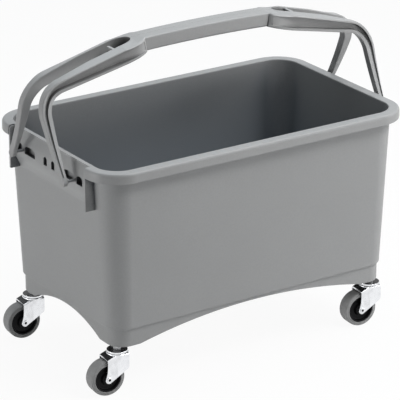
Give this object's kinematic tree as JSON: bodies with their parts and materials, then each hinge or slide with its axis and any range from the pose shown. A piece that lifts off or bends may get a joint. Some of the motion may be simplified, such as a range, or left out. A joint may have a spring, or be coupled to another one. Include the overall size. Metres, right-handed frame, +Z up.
{
  "type": "wheeled mop bucket",
  "caption": "Rectangular mop bucket with a lipped rim, an arched skirt, paired hinged bails whose half grips meet over the middle, and swivel castors under the corner feet.",
  "frame": {"origin": "on the floor, under the middle of the tub", "axes": "+X along the tub, +Y to its back, +Z up"},
  "size_m": [0.543, 0.3064, 0.4566],
  "materials": {
    "tub_plastic": "fine matt moulding grain",
    "bail_plastic": "smooth satin moulding",
    "pale_plastic": "plain moulding",
    "zinc_plate": "bright zinc plate",
    "plain_steel": "drawn steel",
    "black_plastic": "semi-gloss moulding",
    "grey_tyre": "matt grey rubber"
  },
  "bodies": {
    "tub": {"tub": "tub_plastic", "hinge_pin_front_left": "plain_steel", "hinge_pin_front_right": "plain_steel", "hinge_pin_rear_left": "plain_steel", "hinge_pin_rear_right": "plain_steel", "castor_front_left_socket": "pale_plastic", "castor_front_left_stem": "zinc_plate", "castor_front_left_race": "zinc_plate", "castor_front_right_socket": "pale_plastic", "castor_front_right_stem": "zinc_plate", "castor_front_right_race": "zinc_plate", "castor_rear_left_socket": "pale_plastic", "castor_rear_left_stem": "zinc_plate", "castor_rear_left_race": "zinc_plate", "castor_rear_right_socket": "pale_plastic", "castor_rear_right_stem": "zinc_plate", "castor_rear_right_race": "zinc_plate"},
    "front_bail": {"front_bail": "bail_plastic"},
    "rear_bail": {"rear_bail": "bail_plastic"},
    "castor_front_left_swivel": {"castor_front_left_balls": "plain_steel", "castor_front_left_fork": "zinc_plate", "castor_front_left_axle": "zinc_plate", "castor_front_left_bush": "plain_steel"},
    "castor_front_left_roller": {"castor_front_left_wheel": "black_plastic", "castor_front_left_tyre": "grey_tyre"},
    "castor_front_right_swivel": {"castor_front_right_balls": "plain_steel", "castor_front_right_fork": "zinc_plate", "castor_front_right_axle": "zinc_plate", "castor_front_right_bush": "plain_steel"},
    "castor_front_right_roller": {"castor_front_right_wheel": "black_plastic", "castor_front_right_tyre": "grey_tyre"},
    "castor_rear_left_swivel": {"castor_rear_left_balls": "plain_steel", "castor_rear_left_fork": "zinc_plate", "castor_rear_left_axle": "zinc_plate", "castor_rear_left_bush": "plain_steel"},
    "castor_rear_left_roller": {"castor_rear_left_wheel": "black_plastic", "castor_rear_left_tyre": "grey_tyre"},
    "castor_rear_right_swivel": {"castor_rear_right_balls": "plain_steel", "castor_rear_right_fork": "zinc_plate", "castor_rear_right_axle": "zinc_plate", "castor_rear_right_bush": "plain_steel"},
    "castor_rear_right_roller": {"castor_rear_right_wheel": "black_plastic", "castor_rear_right_tyre": "grey_tyre"}
  },
  "joints": [
    {"name": "front_bail_hinge", "type": "hinge", "parent": "tub", "child": "front_bail", "pos_m": [0, -0.068, 0.2976], "axis": [1, 0, 0], "range_deg": [0, 165]},
    {"name": "rear_bail_hinge", "type": "hinge", "parent": "tub", "child": "rear_bail", "pos_m": [0, 0.068, 0.2976], "axis": [-1, 0, 0], "range_deg": [0, 165]},
    {"name": "castor_front_left_swivel_turn", "type": "hinge", "parent": "tub", "child": "castor_front_left_swivel", "pos_m": [-0.211, -0.11305, 0.0585], "axis": [0, 0, 1], "continuous": true},
    {"name": "castor_front_left_roll", "type": "hinge", "parent": "castor_front_left_swivel", "child": "castor_front_left_roller", "pos_m": [-0.22943, -0.11144, 0.025], "axis": [0.0872, 0.9962, 0], "continuous": true},
    {"name": "castor_front_right_swivel_turn", "type": "hinge", "parent": "tub", "child": "castor_front_right_swivel", "pos_m": [0.211, -0.11305, 0.0585], "axis": [0, 0, 1], "continuous": true},
    {"name": "castor_front_right_roll", "type": "hinge", "parent": "castor_front_right_swivel", "child": "castor_front_right_roller", "pos_m": [0.19257, -0.11144, 0.025], "axis": [0.0872, 0.9962, 0], "continuous": true},
    {"name": "castor_rear_left_swivel_turn", "type": "hinge", "parent": "tub", "child": "castor_rear_left_swivel", "pos_m": [-0.211, 0.11305, 0.0585], "axis": [0, 0, 1], "continuous": true},
    {"name": "castor_rear_left_roll", "type": "hinge", "parent": "castor_rear_left_swivel", "child": "castor_rear_left_roller", "pos_m": [-0.22943, 0.11466, 0.025], "axis": [0.0872, 0.9962, 0], "continuous": true},
    {"name": "castor_rear_right_swivel_turn", "type": "hinge", "parent": "tub", "child": "castor_rear_right_swivel", "pos_m": [0.211, 0.11305, 0.0585], "axis": [0, 0, 1], "continuous": true},
    {"name": "castor_rear_right_roll", "type": "hinge", "parent": "castor_rear_right_swivel", "child": "castor_rear_right_roller", "pos_m": [0.19257, 0.11466, 0.025], "axis": [0.0872, 0.9962, 0], "continuous": true}
  ]
}
